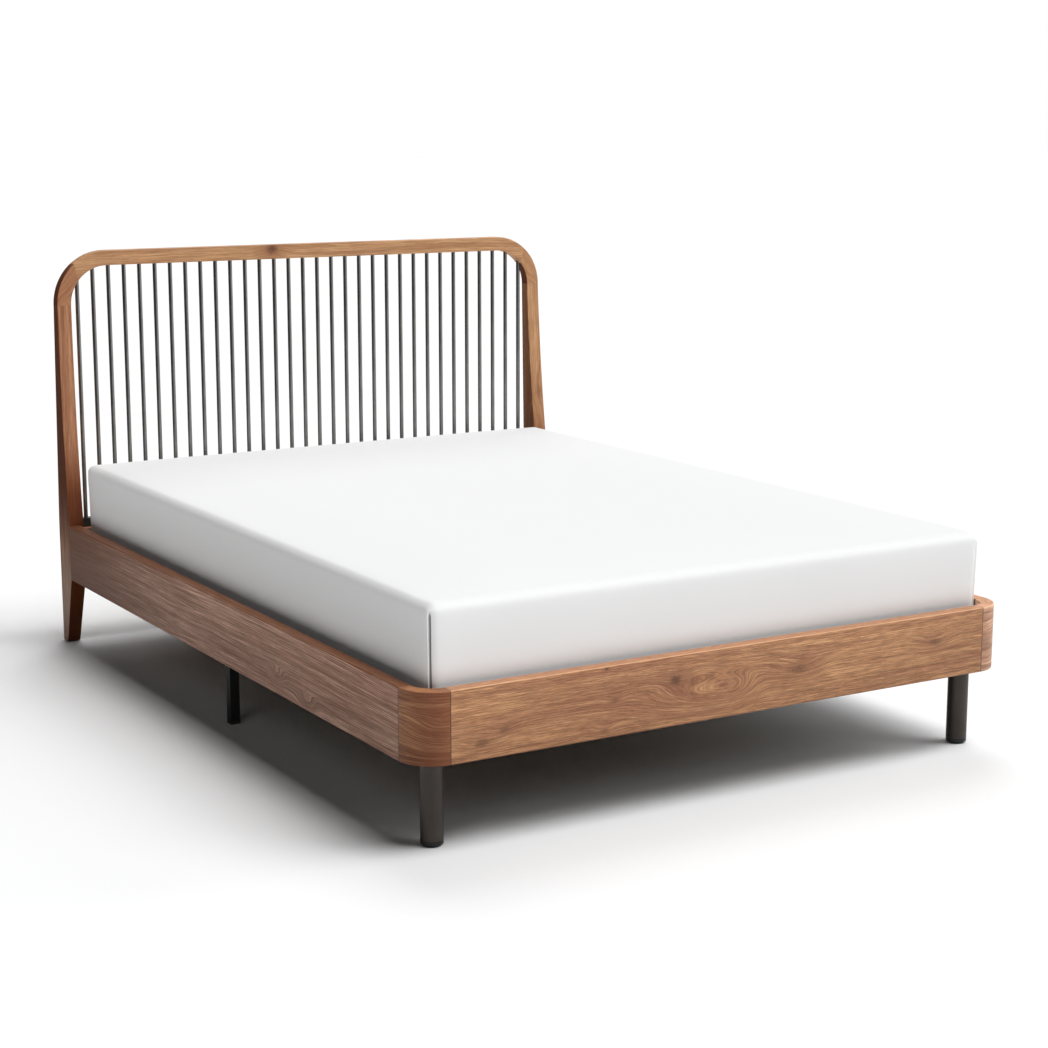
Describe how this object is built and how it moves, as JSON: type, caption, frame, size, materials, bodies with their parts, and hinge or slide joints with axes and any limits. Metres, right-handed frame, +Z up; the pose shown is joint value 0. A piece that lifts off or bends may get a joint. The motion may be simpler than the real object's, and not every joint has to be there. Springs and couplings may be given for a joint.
{
  "type": "wooden bed",
  "caption": "Low wooden platform bed with bent foot corners, tube legs and an arched headboard of steel spindles, holding one white mattress on slats.",
  "frame": {"origin": "on the floor, under the middle of the whole bed", "axes": "+Z up, +Y from the foot end to the headboard, +X to the right as seen from the foot end"},
  "size_m": [1.62, 2.208, 1.134],
  "materials": {
    "frame_wood": "satin oiled walnut tone",
    "inner_wood": "planed, unfinished",
    "bronze_steel": "satin dark bronze",
    "black_steel": "matt black powder coat",
    "plated_steel": "zinc plated",
    "glide_plastic": "gloss black",
    "cap_plastic": "matt black",
    "pad_felt": "pressed felt",
    "webbing_cloth": "woven tape",
    "mattress_cloth": "smooth white cotton"
  },
  "bodies": {
    "frame": {"barrel_nuts": "plated_steel", "bed_bolts": "plated_steel", "centre_rail": "inner_wood", "centre_rail_hanger_foot": "black_steel", "centre_rail_hanger_head": "black_steel", "cross_beam": "black_steel", "foot_corner_dowels": "inner_wood", "foot_corner_left": "frame_wood", "foot_corner_right": "frame_wood", "foot_corner_strap_left": "black_steel", "foot_corner_strap_right": "black_steel", "foot_glide_left": "glide_plastic", "foot_glide_right": "glide_plastic", "foot_leg_left": "bronze_steel", "foot_leg_right": "bronze_steel", "foot_rail": "frame_wood", "head_rail": "frame_wood", "headboard_corner_left": "frame_wood", "headboard_corner_right": "frame_wood", "headboard_dowels": "inner_wood", "headboard_lower_bar": "bronze_steel", "headboard_post_left": "frame_wood", "headboard_post_right": "frame_wood", "headboard_spindles": "bronze_steel", "headboard_top_rail": "frame_wood", "ledger_left": "inner_wood", "ledger_right": "inner_wood", "ledger_screws": "plated_steel", "leg_block_left": "inner_wood", "leg_block_right": "inner_wood", "leg_screws": "plated_steel", "post_pads": "pad_felt", "short_screws": "plated_steel", "side_rail_left": "frame_wood", "side_rail_right": "frame_wood", "slat_01": "inner_wood", "slat_02": "inner_wood", "slat_03": "inner_wood", "slat_04": "inner_wood", "slat_05": "inner_wood", "slat_06": "inner_wood", "slat_07": "inner_wood", "slat_08": "inner_wood", "slat_09": "inner_wood", "slat_10": "inner_wood", "slat_11": "inner_wood", "slat_12": "inner_wood", "slat_13": "inner_wood", "slat_14": "inner_wood", "slat_screws": "plated_steel", "support_leg_bolts": "plated_steel", "support_leg_caps": "cap_plastic", "support_leg_centre": "black_steel", "support_leg_left": "black_steel", "support_leg_right": "black_steel", "webbing_left": "webbing_cloth", "webbing_right": "webbing_cloth"},
    "mattress": {"mattress": "mattress_cloth"}
  },
  "joints": [
    {"name": "mattress_lift", "type": "slide", "parent": "frame", "child": "mattress", "axis": [0, 0, 1], "range_m": [0, 0.3]}
  ]
}
